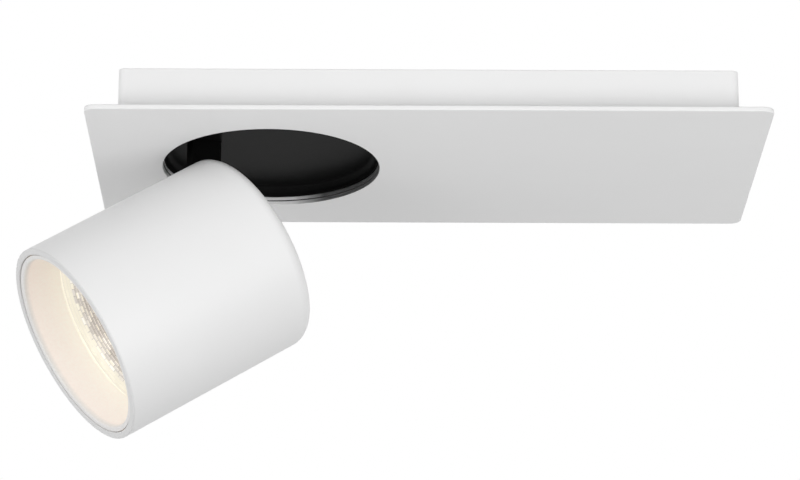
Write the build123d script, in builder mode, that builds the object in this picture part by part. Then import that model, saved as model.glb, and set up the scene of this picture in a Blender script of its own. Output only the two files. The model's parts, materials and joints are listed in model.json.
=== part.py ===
from build123d import *
from math import cos, radians, sin, sqrt
import os

# Surface mounted ceiling spotlight. The ceiling is the plane z = 0 and the light hangs below it.
# X runs along the housing, -Y is its front and the origin is the middle of the ceiling face.
# Sizes are in millimetres and degrees.

os.makedirs("parts", exist_ok=True)

# ---------------------------------------------------------------------------------------------
# Driving sizes
# ---------------------------------------------------------------------------------------------

# Front plate and base box, both folded sheet
PLATE_LENGTH = 300.0
PLATE_WIDTH = 146.0
PLATE_SHEET = 2.0
PLATE_CORNER = 5.0
PLATE_EDGE = 0.4
PLATE_HOLE_STEP = 0.4
BOX_LENGTH = 272.5
BOX_WIDTH = 118.0
BOX_HEIGHT = 22.5
BOX_SHEET = 1.75
BOX_CORNER = 3.0

# The turning dish lies between the box's long walls, near one end
FLANGE_SIDE_GAP = 4.25
FLANGE_END_GAP = 11.1
FLANGE_LAP = 4.4

# Ceiling bracket
BRACKET_SHEET = 1.5
BRACKET_WIDTH = 30.0
BRACKET_END_GAP = 0.3
BRACKET_BEND = 2.0
BRACKET_LIP = 14.0
CEILING_SLOT_SPACING = 180.0
CEILING_SLOT_LENGTH = 20.0
CEILING_SLOT_WIDTH = 5.0
SIDE_SCREW_DROP = 8.0

# Cable inlet
INLET_RADIUS = 6.0
GROMMET_WALL = 3.0
GROMMET_LIP = 2.0

# Screws, studs and nuts: M3 inside, M4 at the ends and for the earth
M3_RADIUS = 1.5
M3_HEAD_RADIUS = 2.75
M3_HEAD_HEIGHT = 1.8
M3_NUT_FLATS = 5.5
M3_NUT_HEIGHT = 2.4
M4_RADIUS = 2.0
M4_HEAD_RADIUS = 3.8
M4_HEAD_HEIGHT = 2.2
M4_NUT_FLATS = 7.0
M4_NUT_HEIGHT = 3.2
THREAD_PLAY = 0.05
SCREW_PLAY = 0.25
SOCKET_SHARE = 0.5
STUD_TIP = 1.0
STUD_CHAMFER = 0.5
HEX_SIDE_COUNT = 6

# Driver, terminal block and earth point on the box floor
DRIVER_LENGTH = 96.0
DRIVER_WIDTH = 42.0
DRIVER_HEADROOM = 3.0
DRIVER_EAR = 10.0
DRIVER_EAR_WIDTH = 18.0
DRIVER_EAR_HEIGHT = 2.5
DRIVER_EDGE = 1.0
DRIVER_END_GAP = 4.5
DRIVER_SIDE_GAP = 12.25
PORT_RADIUS = 1.6
PORT_PITCH = 6.0
PORT_DEPTH = 8.0
MAINS_PORTS = 3
OUTPUT_PORTS = 2
TERMINAL_LENGTH = 30.0
TERMINAL_WIDTH = 17.0
TERMINAL_HEIGHT = 13.0
TERMINAL_END_GAP = 68.5
TERMINAL_SIDE_GAP = 12.75
TERMINAL_PITCH = 8.5
TERMINAL_POLES = 3
TERMINAL_SLOPE = 2.8
TERMINAL_WELL = 3.2
TERMINAL_EAR = 7.0
EARTH_END_GAP = 38.5
EARTH_STUD_HEIGHT = 12.0
EARTH_PAD_RADIUS = 4.0
EARTH_PAD_HEIGHT = 1.0

# Studs that hold the plate to the box
PLATE_STUD_END_GAP = 6.5
PLATE_STUD_SIDE_GAP = 7.25
PLATE_STUD_FLANGE_GAP = 25.4

# Turntable
GLIDE_THICKNESS = 0.5
GLIDE_INSET = 0.6
DISH_SHEET = 1.2
DISH_RISE = 4.15
DISH_LIP_INSET = 0.3
RUNNING_GAP = 0.3
CLIP_COUNT = 4
CLIP_FIRST_ANGLE = 45.0
CLIP_SHEET = 1.2
CLIP_WIDTH = 12.0
CLIP_REACH = 2.4
CLIP_FOOT = 12.0
STOP_POST_RADIUS = 1.3
STOP_SPIGOT_RADIUS = 1.0
STOP_POST_GAP = 0.7
STOP_FINGER_WIDTH = 5.0

# Pose in which the light is drawn
PAN_ANGLE = 197.56
TILT_ANGLE = 56.8

# Hinge
PIVOT_INSET = 17.0
PIVOT_SIDE_GAP = 11.65
PIVOT_PLAY = 0.05
PIVOT_NUT_GAP = 2.0
HEAD_CLEARANCE = 2.8
ARM_WIDTH = 13.7
ARM_THICKNESS = 10.0
ARM_EDGE = 1.0
ARM_FOOT_LENGTH = 28.0
ARM_FOOT_WIDTH = 21.0
ARM_FOOT_HEIGHT = 3.0
ARM_FOOT_CORNER = 3.0
ARM_SLOT_PLAY = 0.1
ARM_STUD_INSET = 3.2
CHANNEL_RADIUS = 2.5
CHANNEL_FLOOR = 2.0
WINDOW_WIDTH = 4.0
WINDOW_HEIGHT = 10.0
BUSH_WALL = 0.7
BUSH_LIP = 1.6
BUSH_PLAY = 0.05
WASHER_THICKNESS = 0.5
WASHER_RADIUS = 5.3
FACE_PLAY = 0.1
LUG_WALL = 4.0
LUG_THICKNESS = 4.0

# Head shell
HEAD_RADIUS = 46.25
HEAD_LENGTH = 96.75
HEAD_WALL = 3.0
HEAD_BACK = 2.0
HEAD_EDGE = 5.8
HEAD_RIM_EDGE = 0.4
HEAD_FIT = 0.35
SLOT_END_GAP = 1.0
SLOT_CORNER = 1.5
CABLE_ROOM = 6.5

# Heat sink
SINK_TOP_GAP = 3.0
FIN_HEIGHT = 20.0
FIN_THICKNESS = 1.6
FIN_COUNT = 24
SINK_HUB_RADIUS = 12.0
SINK_BASE = 6.0
SINK_FIT = 0.15
BOSS_RADIUS = 4.2
BOSS_INSET = 9.25
BOSS_COUNT = 3
BOSS_FIRST_ANGLE = 90.0
BOSS_SPAN = 180.0
REAR_SCREW_BITE = 10.0
SINK_CABLE_RADIUS = 2.2
SINK_CABLE_PLACE = 26.0

# Light source
BOARD_SIDE = 19.0
BOARD_THICKNESS = 1.2
EMITTER_RADIUS = 6.5
EMITTER_THICKNESS = 0.6
HOLDER_RADIUS = 17.5
HOLDER_HEIGHT = 4.0
HOLDER_APERTURE = 9.0
HOLDER_FIT = 0.2
LED_SCREW_INSET = 3.4
LED_SCREW_BITE = 4.0
LED_SCREW_COUNT = 2
LED_SCREW_ANGLE = 90.0

# Reflector, lens and bezel
REFLECTOR_COVER = 0.3
REFLECTOR_NECK = 10.0
REFLECTOR_WALL = 1.0
REFLECTOR_FACETS = 36
REFLECTOR_RINGS = 6
REFLECTOR_FLANGE = 1.0
GASKET_THICKNESS = 0.8
GASKET_WIDTH = 3.5
LENS_THICKNESS = 3.0
LENS_EDGE = 0.5
LENS_DEPTH = 17.5
BEZEL_EDGE = 2.0
BEZEL_FLARE = 3.7
BEZEL_LIP = 1.0
BEZEL_RECESS = 0.3
RING_SECTION = 0.9
RING_GROOVE_PLAY = 0.05
RING_PLACE = 5.0

# ---------------------------------------------------------------------------------------------
# Levels, places and planes worked out from the sizes
# ---------------------------------------------------------------------------------------------

FLOOR_BOTTOM = -BOX_HEIGHT
FLOOR_TOP = FLOOR_BOTTOM + BOX_SHEET
PLATE_BOTTOM = FLOOR_BOTTOM - PLATE_SHEET
BOX_INSIDE_X = BOX_LENGTH / 2 - BOX_SHEET
BOX_INSIDE_Y = BOX_WIDTH / 2 - BOX_SHEET
BRACKET_LENGTH = 2 * (BOX_INSIDE_X - BRACKET_END_GAP)
GROMMET_RADIUS = INLET_RADIUS + GROMMET_WALL

FLANGE_RADIUS = BOX_INSIDE_Y - FLANGE_SIDE_GAP
HOLE_RADIUS = FLANGE_RADIUS - FLANGE_LAP
HOLE_OFFSET = FLANGE_RADIUS + FLANGE_END_GAP - BOX_INSIDE_X
PIVOT_OFFSET = HOLE_RADIUS - PIVOT_INSET

FLANGE_BOTTOM = FLOOR_TOP + GLIDE_THICKNESS
FLANGE_TOP = FLANGE_BOTTOM + DISH_SHEET
DISH_INNER = HOLE_RADIUS - DISH_LIP_INSET
DISH_CEILING = FLANGE_BOTTOM + DISH_RISE
DISH_TOP = DISH_CEILING + DISH_SHEET
DISH_COVE = DISH_CEILING - FLANGE_TOP
ARM_FOOT_TOP = DISH_TOP + ARM_FOOT_HEIGHT
CLIP_FOOT_START = FLANGE_RADIUS + RUNNING_GAP
CLIP_LEAF_BOTTOM = FLANGE_TOP + RUNNING_GAP
CLIP_SCREW_CIRCLE = CLIP_FOOT_START + (CLIP_SHEET + CLIP_FOOT) / 2
STOP_POST_CIRCLE = FLANGE_RADIUS + STOP_POST_GAP + STOP_POST_RADIUS
STOP_FINGER_TIP = STOP_POST_CIRCLE + STOP_POST_RADIUS

HEAD_BORE = HEAD_RADIUS - HEAD_WALL
HEAD_PIVOT_OFFSET = HEAD_BORE - PIVOT_SIDE_GAP
PIVOT_DEPTH = HEAD_BACK + PIVOT_NUT_GAP + M4_NUT_FLATS / sqrt(3)
PIVOT_DROP = HEAD_RADIUS - HEAD_PIVOT_OFFSET + HEAD_CLEARANCE
PIVOT_LEVEL = PLATE_BOTTOM - PIVOT_DROP
KNUCKLE_RADIUS = ARM_WIDTH / 2
LUG_INNER = ARM_THICKNESS / 2 + FACE_PLAY + WASHER_THICKNESS
LUG_OUTER = LUG_INNER + LUG_THICKNESS
LUG_RADIUS = M4_RADIUS + LUG_WALL
HEAD_INNER_EDGE = HEAD_EDGE - HEAD_WALL
BOSS_CIRCLE = HEAD_BORE - BOSS_INSET
LED_SCREW_CIRCLE = HOLDER_RADIUS - LED_SCREW_INSET
BEZEL_RADIUS = HEAD_BORE - HEAD_FIT
BEZEL_MOUTH = BEZEL_RADIUS - BEZEL_EDGE
BEZEL_THROAT = BEZEL_MOUTH - BEZEL_FLARE
REFLECTOR_MOUTH = BEZEL_THROAT + REFLECTOR_COVER
SLOT_START = HEAD_PIVOT_OFFSET - KNUCKLE_RADIUS - CABLE_ROOM
SLOT_DEPTH = PIVOT_DEPTH + KNUCKLE_RADIUS + SLOT_END_GAP

# Depths in the head, measured from its back face towards its mouth
SINK_TOP = PIVOT_DEPTH + KNUCKLE_RADIUS + SINK_TOP_GAP
SINK_PLATE = SINK_TOP + FIN_HEIGHT
SINK_FACE = SINK_PLATE + SINK_BASE
HOLDER_FACE = SINK_FACE + HOLDER_HEIGHT
LENS_FACE = HEAD_LENGTH - LENS_DEPTH
LENS_BACK = LENS_FACE - LENS_THICKNESS
REFLECTOR_FACE = LENS_BACK - GASKET_THICKNESS
BEZEL_FACE = HEAD_LENGTH - BEZEL_RECESS

# Places on the box floor
DRIVER_PLACE = (
    BOX_INSIDE_X - DRIVER_END_GAP - DRIVER_EAR - DRIVER_LENGTH / 2,
    BOX_INSIDE_Y - DRIVER_SIDE_GAP - DRIVER_WIDTH / 2,
)
TERMINAL_PLACE = (
    BOX_INSIDE_X - TERMINAL_END_GAP - TERMINAL_EAR - TERMINAL_LENGTH / 2,
    TERMINAL_SIDE_GAP + TERMINAL_WIDTH / 2 - BOX_INSIDE_Y,
)
EARTH_PLACE = (BOX_INSIDE_X - EARTH_END_GAP, TERMINAL_PLACE[1])
PLATE_STUD_ROW = BOX_INSIDE_Y - PLATE_STUD_SIDE_GAP
PLATE_STUD_COLUMNS = (
    PLATE_STUD_END_GAP - BOX_INSIDE_X,
    HOLE_OFFSET + FLANGE_RADIUS + PLATE_STUD_FLANGE_GAP,
    BOX_INSIDE_X - PLATE_STUD_END_GAP,
)
PLATE_STUD_PLACES = [(column, side * PLATE_STUD_ROW) for column in PLATE_STUD_COLUMNS for side in (1, -1)]

# The turning axis of the dish and the direction in which the arm stands from it
TURN_AXIS = Axis((HOLE_OFFSET, 0, 0), (0, 0, 1))
ARM_DIRECTION = Vector(cos(radians(PAN_ANGLE)), sin(radians(PAN_ANGLE)), 0)
SWIVEL = Plane(origin=(HOLE_OFFSET, 0, 0), x_dir=ARM_DIRECTION, z_dir=(0, 0, 1))
PIVOT = SWIVEL.origin + ARM_DIRECTION * PIVOT_OFFSET + Vector(0, 0, PIVOT_LEVEL)

# The head's own frame: x towards the pivot, z out of its back, origin in the middle of its back
HEAD_X = ARM_DIRECTION * cos(radians(TILT_ANGLE)) + Vector(0, 0, sin(radians(TILT_ANGLE)))
HEAD_Z = ARM_DIRECTION * -sin(radians(TILT_ANGLE)) + Vector(0, 0, cos(radians(TILT_ANGLE)))
HEAD = Plane(origin=PIVOT - HEAD_X * HEAD_PIVOT_OFFSET + HEAD_Z * PIVOT_DEPTH, x_dir=HEAD_X, z_dir=HEAD_Z)
HEAD_AXIS = Axis(HEAD.origin, HEAD_Z)
HEAD_SECTION = Plane(origin=HEAD.origin, x_dir=HEAD_X, z_dir=HEAD.y_dir * -1)
TILT_DIRECTION = HEAD.y_dir * -1
HINGE_SECTION = Plane(origin=PIVOT, x_dir=HEAD_X, z_dir=TILT_DIRECTION)
ARM_SECTION = Plane(origin=PIVOT, x_dir=ARM_DIRECTION, z_dir=TILT_DIRECTION)


def floor_level(height=0.0):
    """Horizontal plane over the middle of the box floor."""
    return Plane.XY.offset(FLOOR_TOP + height)


def turn_level(height):
    """Horizontal plane centred on the turning axis, with x along the arm's direction."""
    return SWIVEL.offset(height)


def hole_level(height):
    """Horizontal plane centred on the turning axis, with x along the housing."""
    return Plane.XY.offset(height).shift_origin((HOLE_OFFSET, 0, height))


def clip_plane(index):
    """Upright plane through the turning axis: x outwards through one clip, y up."""
    angle = radians(CLIP_FIRST_ANGLE + index * 360 / CLIP_COUNT)
    return Plane(origin=(HOLE_OFFSET, 0, 0), x_dir=(cos(angle), sin(angle), 0), z_dir=(sin(angle), -cos(angle), 0))


def head_depth(depth):
    """Plane across the head at a depth from its back face."""
    return HEAD.offset(-depth)


def hinge_side(distance):
    """Plane square to the pivot, at a distance along it."""
    return HINGE_SECTION.offset(distance)


# ---------------------------------------------------------------------------------------------
# Housing
# ---------------------------------------------------------------------------------------------

with BuildPart() as mounting_bracket:
    with BuildSketch(Plane.XY):
        Rectangle(BRACKET_LENGTH, BRACKET_WIDTH)
        with GridLocations(CEILING_SLOT_SPACING, 0, 2, 1):
            SlotOverall(CEILING_SLOT_LENGTH, CEILING_SLOT_WIDTH, mode=Mode.SUBTRACT)
        Circle(GROMMET_RADIUS + THREAD_PLAY, mode=Mode.SUBTRACT)
    extrude(amount=-BRACKET_SHEET)
    with BuildSketch(Plane.YZ.offset(BRACKET_LENGTH / 2)):
        Rectangle(BRACKET_WIDTH, BRACKET_LIP, align=(Align.CENTER, Align.MAX))
        with Locations((0, -SIDE_SCREW_DROP)):
            Circle(M4_RADIUS + THREAD_PLAY, mode=Mode.SUBTRACT)
    extrude(amount=-BRACKET_SHEET)
    mirror(about=Plane.YZ)
    bends = mounting_bracket.edges().filter_by(Axis.Y).group_by(Axis.Z)[-1]
    fillet(bends, radius=BRACKET_BEND)
mounting_bracket.part.label = "mounting_bracket"
export_step(mounting_bracket.part, "parts/mounting_bracket.step")

with BuildPart() as cable_grommet:
    with BuildSketch(Plane.XY):
        Circle(GROMMET_RADIUS)
    extrude(amount=-BRACKET_SHEET)
    with BuildSketch(Plane.XY.offset(-BRACKET_SHEET)):
        Circle(GROMMET_RADIUS + GROMMET_LIP)
    extrude(amount=-GROMMET_LIP)
    fillet(cable_grommet.edges().sort_by(Axis.Z)[0], radius=GROMMET_LIP / 2)
    with BuildSketch(Plane.XY):
        Circle(INLET_RADIUS)
    extrude(amount=-(BRACKET_SHEET + GROMMET_LIP), mode=Mode.SUBTRACT)
cable_grommet.part.label = "cable_grommet"
export_step(cable_grommet.part, "parts/cable_grommet.step")

driver_ends = DRIVER_LENGTH / 2 + DRIVER_EAR / 2
driver_screw_places = [(DRIVER_PLACE[0] + side * driver_ends, DRIVER_PLACE[1]) for side in (-1, 1)]
terminal_ends = TERMINAL_LENGTH / 2 + TERMINAL_EAR / 2
terminal_screw_places = [(TERMINAL_PLACE[0] + side * terminal_ends, TERMINAL_PLACE[1]) for side in (-1, 1)]

with BuildPart() as base_box:
    with BuildSketch(Plane.XY.offset(FLOOR_BOTTOM)):
        RectangleRounded(BOX_LENGTH, BOX_WIDTH, BOX_CORNER)
    extrude(amount=BOX_HEIGHT)
    offset(amount=-BOX_SHEET, openings=base_box.faces().sort_by(Axis.Z)[-1])
    with BuildSketch(Plane.XY.offset(FLOOR_BOTTOM)):
        with Locations((HOLE_OFFSET, 0)):
            Circle(HOLE_RADIUS)
        with Locations(*PLATE_STUD_PLACES):
            Circle(M3_RADIUS + SCREW_PLAY)
        with Locations(*driver_screw_places, *terminal_screw_places):
            Circle(M3_RADIUS + THREAD_PLAY)
    extrude(amount=BOX_SHEET, mode=Mode.SUBTRACT)
    with BuildSketch(hole_level(FLOOR_BOTTOM)):
        with PolarLocations(CLIP_SCREW_CIRCLE, CLIP_COUNT, CLIP_FIRST_ANGLE):
            Circle(M3_RADIUS + THREAD_PLAY)
    with BuildSketch(turn_level(FLOOR_BOTTOM)):
        with Locations((-STOP_POST_CIRCLE, 0)):
            Circle(STOP_SPIGOT_RADIUS + THREAD_PLAY)
    extrude(amount=BOX_SHEET, mode=Mode.SUBTRACT)
    with BuildSketch(Plane.YZ):
        with Locations((0, -SIDE_SCREW_DROP)):
            Circle(M4_RADIUS + SCREW_PLAY)
    extrude(amount=BOX_LENGTH, both=True, mode=Mode.SUBTRACT)
base_box.part.label = "base_box"
export_step(base_box.part, "parts/base_box.step")

stud_height = BOX_SHEET + M3_NUT_HEIGHT + STUD_TIP

with BuildPart() as front_plate:
    with BuildSketch(Plane.XY.offset(PLATE_BOTTOM)):
        RectangleRounded(PLATE_LENGTH, PLATE_WIDTH, PLATE_CORNER)
        with Locations((HOLE_OFFSET, 0)):
            Circle(HOLE_RADIUS + PLATE_HOLE_STEP, mode=Mode.SUBTRACT)
    extrude(amount=PLATE_SHEET)
    fillet(front_plate.edges().group_by(Axis.Z)[0], radius=PLATE_EDGE)
    with BuildSketch(Plane.XY.offset(FLOOR_BOTTOM)):
        with Locations(*PLATE_STUD_PLACES):
            Circle(M3_RADIUS)
    extrude(amount=stud_height)
front_plate.part.label = "front_plate"
export_step(front_plate.part, "parts/front_plate.step")

with BuildPart() as plate_nuts:
    with BuildSketch(floor_level()):
        with Locations(*PLATE_STUD_PLACES):
            RegularPolygon(M3_NUT_FLATS / 2, HEX_SIDE_COUNT, major_radius=False)
            Circle(M3_RADIUS + THREAD_PLAY, mode=Mode.SUBTRACT)
    extrude(amount=M3_NUT_HEIGHT)
plate_nuts.part.label = "plate_nuts"
export_step(plate_nuts.part, "parts/plate_nuts.step")

with BuildPart() as side_screws:
    with BuildSketch(Plane.YZ.offset(BOX_LENGTH / 2)):
        with Locations((0, -SIDE_SCREW_DROP)):
            Circle(M4_HEAD_RADIUS)
    extrude(amount=M4_HEAD_HEIGHT)
    fillet(side_screws.edges().sort_by(Axis.X)[-1], radius=M4_HEAD_HEIGHT / 2)
    with BuildSketch(Plane.YZ.offset(BOX_LENGTH / 2 + M4_HEAD_HEIGHT)):
        with Locations((0, -SIDE_SCREW_DROP)):
            RegularPolygon(M4_HEAD_RADIUS * SOCKET_SHARE, HEX_SIDE_COUNT)
    extrude(amount=-M4_HEAD_HEIGHT / 2, mode=Mode.SUBTRACT)
    with BuildSketch(Plane.YZ.offset(BOX_LENGTH / 2)):
        with Locations((0, -SIDE_SCREW_DROP)):
            Circle(M4_RADIUS)
    extrude(amount=-(BOX_SHEET + BRACKET_END_GAP + BRACKET_SHEET + STUD_TIP))
    mirror(about=Plane.YZ)
side_screws.part.label = "side_screws"
export_step(side_screws.part, "parts/side_screws.step")

driver_height = BOX_HEIGHT - BOX_SHEET - BRACKET_SHEET - DRIVER_HEADROOM

with BuildPart() as led_driver:
    with BuildSketch(floor_level()):
        with Locations(DRIVER_PLACE):
            RectangleRounded(DRIVER_LENGTH, DRIVER_WIDTH, BOX_CORNER)
    extrude(amount=driver_height)
    fillet(led_driver.edges().group_by(Axis.Z)[-1], radius=DRIVER_EDGE)
    with BuildSketch(floor_level()):
        with Locations(DRIVER_PLACE):
            RectangleRounded(DRIVER_LENGTH + 2 * DRIVER_EAR, DRIVER_EAR_WIDTH, BOX_CORNER)
    extrude(amount=DRIVER_EAR_HEIGHT)
    with BuildSketch(floor_level()):
        with Locations(*driver_screw_places):
            Circle(M3_RADIUS + SCREW_PLAY)
    extrude(amount=DRIVER_EAR_HEIGHT, mode=Mode.SUBTRACT)
    port_height = (DRIVER_EAR_HEIGHT + driver_height) / 2
    for side, ports in ((-1, MAINS_PORTS), (1, OUTPUT_PORTS)):
        end = DRIVER_PLACE[0] + side * DRIVER_LENGTH / 2
        with BuildSketch(Plane.YZ.offset(end)):
            with Locations((DRIVER_PLACE[1], FLOOR_TOP + port_height)):
                with GridLocations(PORT_PITCH, 0, ports, 1):
                    Circle(PORT_RADIUS)
        extrude(amount=-side * PORT_DEPTH, mode=Mode.SUBTRACT)
led_driver.part.label = "led_driver"
export_step(led_driver.part, "parts/led_driver.step")

with BuildPart() as driver_screws:
    with BuildSketch(floor_level(DRIVER_EAR_HEIGHT)):
        with Locations(*driver_screw_places):
            Circle(M3_HEAD_RADIUS)
    extrude(amount=M3_HEAD_HEIGHT)
    with BuildSketch(floor_level(DRIVER_EAR_HEIGHT + M3_HEAD_HEIGHT)):
        with Locations(*driver_screw_places):
            RegularPolygon(M3_HEAD_RADIUS * SOCKET_SHARE, HEX_SIDE_COUNT)
    extrude(amount=-M3_HEAD_HEIGHT / 2, mode=Mode.SUBTRACT)
    with BuildSketch(floor_level(DRIVER_EAR_HEIGHT)):
        with Locations(*driver_screw_places):
            Circle(M3_RADIUS)
    extrude(amount=-(DRIVER_EAR_HEIGHT + BOX_SHEET))
driver_screws.part.label = "driver_screws"
export_step(driver_screws.part, "parts/driver_screws.step")

with BuildPart() as terminal_block:
    with BuildSketch(floor_level()):
        with Locations(TERMINAL_PLACE):
            Rectangle(TERMINAL_LENGTH, TERMINAL_WIDTH)
    extrude(amount=TERMINAL_HEIGHT)
    chamfer(terminal_block.edges().filter_by(Axis.X).group_by(Axis.Z)[-1], length=TERMINAL_SLOPE)
    with BuildSketch(floor_level()):
        with Locations(TERMINAL_PLACE):
            SlotOverall(TERMINAL_LENGTH + 2 * TERMINAL_EAR, TERMINAL_EAR)
    extrude(amount=DRIVER_EAR_HEIGHT)
    with BuildSketch(floor_level()):
        with Locations(*terminal_screw_places):
            Circle(M3_RADIUS + SCREW_PLAY)
    extrude(amount=DRIVER_EAR_HEIGHT, mode=Mode.SUBTRACT)
    with BuildSketch(Plane.XZ.offset(-TERMINAL_PLACE[1])):
        with Locations((TERMINAL_PLACE[0], FLOOR_TOP + TERMINAL_HEIGHT / 2)):
            with GridLocations(TERMINAL_PITCH, 0, TERMINAL_POLES, 1):
                Circle(M4_RADIUS)
    extrude(amount=TERMINAL_WIDTH, both=True, mode=Mode.SUBTRACT)
    with BuildSketch(floor_level(TERMINAL_HEIGHT)):
        with Locations(TERMINAL_PLACE):
            with GridLocations(TERMINAL_PITCH, 0, TERMINAL_POLES, 1):
                Circle(M3_HEAD_RADIUS)
    extrude(amount=-TERMINAL_WELL, mode=Mode.SUBTRACT)
terminal_block.part.label = "terminal_block"
export_step(terminal_block.part, "parts/terminal_block.step")

with BuildPart() as terminal_screws:
    with BuildSketch(floor_level(DRIVER_EAR_HEIGHT)):
        with Locations(*terminal_screw_places):
            Circle(M3_HEAD_RADIUS)
    extrude(amount=M3_HEAD_HEIGHT)
    with BuildSketch(floor_level(DRIVER_EAR_HEIGHT)):
        with Locations(*terminal_screw_places):
            Circle(M3_RADIUS)
    extrude(amount=-(DRIVER_EAR_HEIGHT + BOX_SHEET))
terminal_screws.part.label = "terminal_screws"
export_step(terminal_screws.part, "parts/terminal_screws.step")

with BuildPart() as earth_stud:
    with BuildSketch(floor_level()):
        with Locations(EARTH_PLACE):
            Circle(EARTH_PAD_RADIUS)
    extrude(amount=EARTH_PAD_HEIGHT)
    with BuildSketch(floor_level(EARTH_PAD_HEIGHT)):
        with Locations(EARTH_PLACE):
            Circle(M4_RADIUS)
    extrude(amount=EARTH_STUD_HEIGHT - EARTH_PAD_HEIGHT)
    chamfer(earth_stud.edges().sort_by(Axis.Z)[-1], length=STUD_CHAMFER)
earth_stud.part.label = "earth_stud"
export_step(earth_stud.part, "parts/earth_stud.step")

with BuildPart() as earth_nut:
    with BuildSketch(floor_level(EARTH_PAD_HEIGHT)):
        with Locations(EARTH_PLACE):
            RegularPolygon(M4_NUT_FLATS / 2, HEX_SIDE_COUNT, major_radius=False)
            Circle(M4_RADIUS + THREAD_PLAY, mode=Mode.SUBTRACT)
    extrude(amount=M4_NUT_HEIGHT)
earth_nut.part.label = "earth_nut"
export_step(earth_nut.part, "parts/earth_nut.step")

with BuildPart() as glide_ring:
    with BuildSketch(turn_level(FLOOR_TOP)):
        Circle(FLANGE_RADIUS - GLIDE_INSET)
        Circle(HOLE_RADIUS + GLIDE_INSET, mode=Mode.SUBTRACT)
    extrude(amount=GLIDE_THICKNESS)
glide_ring.part.label = "glide_ring"
export_step(glide_ring.part, "parts/glide_ring.step")

# Each clip is a joggled strip: a foot on the floor and a leaf over the dish's flange
with BuildPart() as retaining_clips:
    leaf_tip = CLIP_FOOT_START - CLIP_REACH
    foot_end = CLIP_FOOT_START + CLIP_SHEET + CLIP_FOOT
    leaf_top = CLIP_LEAF_BOTTOM + CLIP_SHEET
    for index in range(CLIP_COUNT):
        with BuildSketch(clip_plane(index)):
            with BuildLine():
                Polyline(
                    (foot_end, FLOOR_TOP),
                    (CLIP_FOOT_START, FLOOR_TOP),
                    (CLIP_FOOT_START, CLIP_LEAF_BOTTOM),
                    (leaf_tip, CLIP_LEAF_BOTTOM),
                    (leaf_tip, leaf_top),
                    (CLIP_FOOT_START + CLIP_SHEET, leaf_top),
                    (CLIP_FOOT_START + CLIP_SHEET, FLOOR_TOP + CLIP_SHEET),
                    (foot_end, FLOOR_TOP + CLIP_SHEET),
                    close=True,
                )
            make_face()
        extrude(amount=CLIP_WIDTH / 2, both=True)
    with BuildSketch(hole_level(FLOOR_TOP)):
        with PolarLocations(CLIP_SCREW_CIRCLE, CLIP_COUNT, CLIP_FIRST_ANGLE):
            Circle(M3_RADIUS + SCREW_PLAY)
    extrude(amount=CLIP_SHEET, mode=Mode.SUBTRACT)
retaining_clips.part.label = "retaining_clips"
export_step(retaining_clips.part, "parts/retaining_clips.step")

with BuildPart() as clip_screws:
    with BuildSketch(hole_level(FLOOR_TOP + CLIP_SHEET)):
        with PolarLocations(CLIP_SCREW_CIRCLE, CLIP_COUNT, CLIP_FIRST_ANGLE):
            Circle(M3_HEAD_RADIUS)
    extrude(amount=M3_HEAD_HEIGHT)
    with BuildSketch(hole_level(FLOOR_TOP + CLIP_SHEET + M3_HEAD_HEIGHT)):
        with PolarLocations(CLIP_SCREW_CIRCLE, CLIP_COUNT, CLIP_FIRST_ANGLE):
            RegularPolygon(M3_HEAD_RADIUS * SOCKET_SHARE, HEX_SIDE_COUNT)
    extrude(amount=-M3_HEAD_HEIGHT / 2, mode=Mode.SUBTRACT)
    with BuildSketch(hole_level(FLOOR_TOP + CLIP_SHEET)):
        with PolarLocations(CLIP_SCREW_CIRCLE, CLIP_COUNT, CLIP_FIRST_ANGLE):
            Circle(M3_RADIUS)
    extrude(amount=-(CLIP_SHEET + BOX_SHEET))
clip_screws.part.label = "clip_screws"
export_step(clip_screws.part, "parts/clip_screws.step")

# The post stands opposite the arm, so that the dish may turn almost half a turn each way
with BuildPart() as stop_post:
    with BuildSketch(turn_level(FLOOR_TOP)):
        with Locations((-STOP_POST_CIRCLE, 0)):
            Circle(STOP_POST_RADIUS)
    extrude(amount=ARM_FOOT_TOP - FLOOR_TOP)
    with BuildSketch(turn_level(FLOOR_TOP)):
        with Locations((-STOP_POST_CIRCLE, 0)):
            Circle(STOP_SPIGOT_RADIUS)
    extrude(amount=-BOX_SHEET)
stop_post.part.label = "stop_post"
export_step(stop_post.part, "parts/stop_post.step")

# ---------------------------------------------------------------------------------------------
# Turntable
# ---------------------------------------------------------------------------------------------

stud_reach = ARM_FOOT_LENGTH / 2 - ARM_STUD_INSET
stud_spread = ARM_FOOT_WIDTH / 2 - ARM_STUD_INSET
arm_stud_places = [
    (PIVOT_OFFSET + along * stud_reach, across * stud_spread) for along in (-1, 1) for across in (-1, 1)
]

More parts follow.
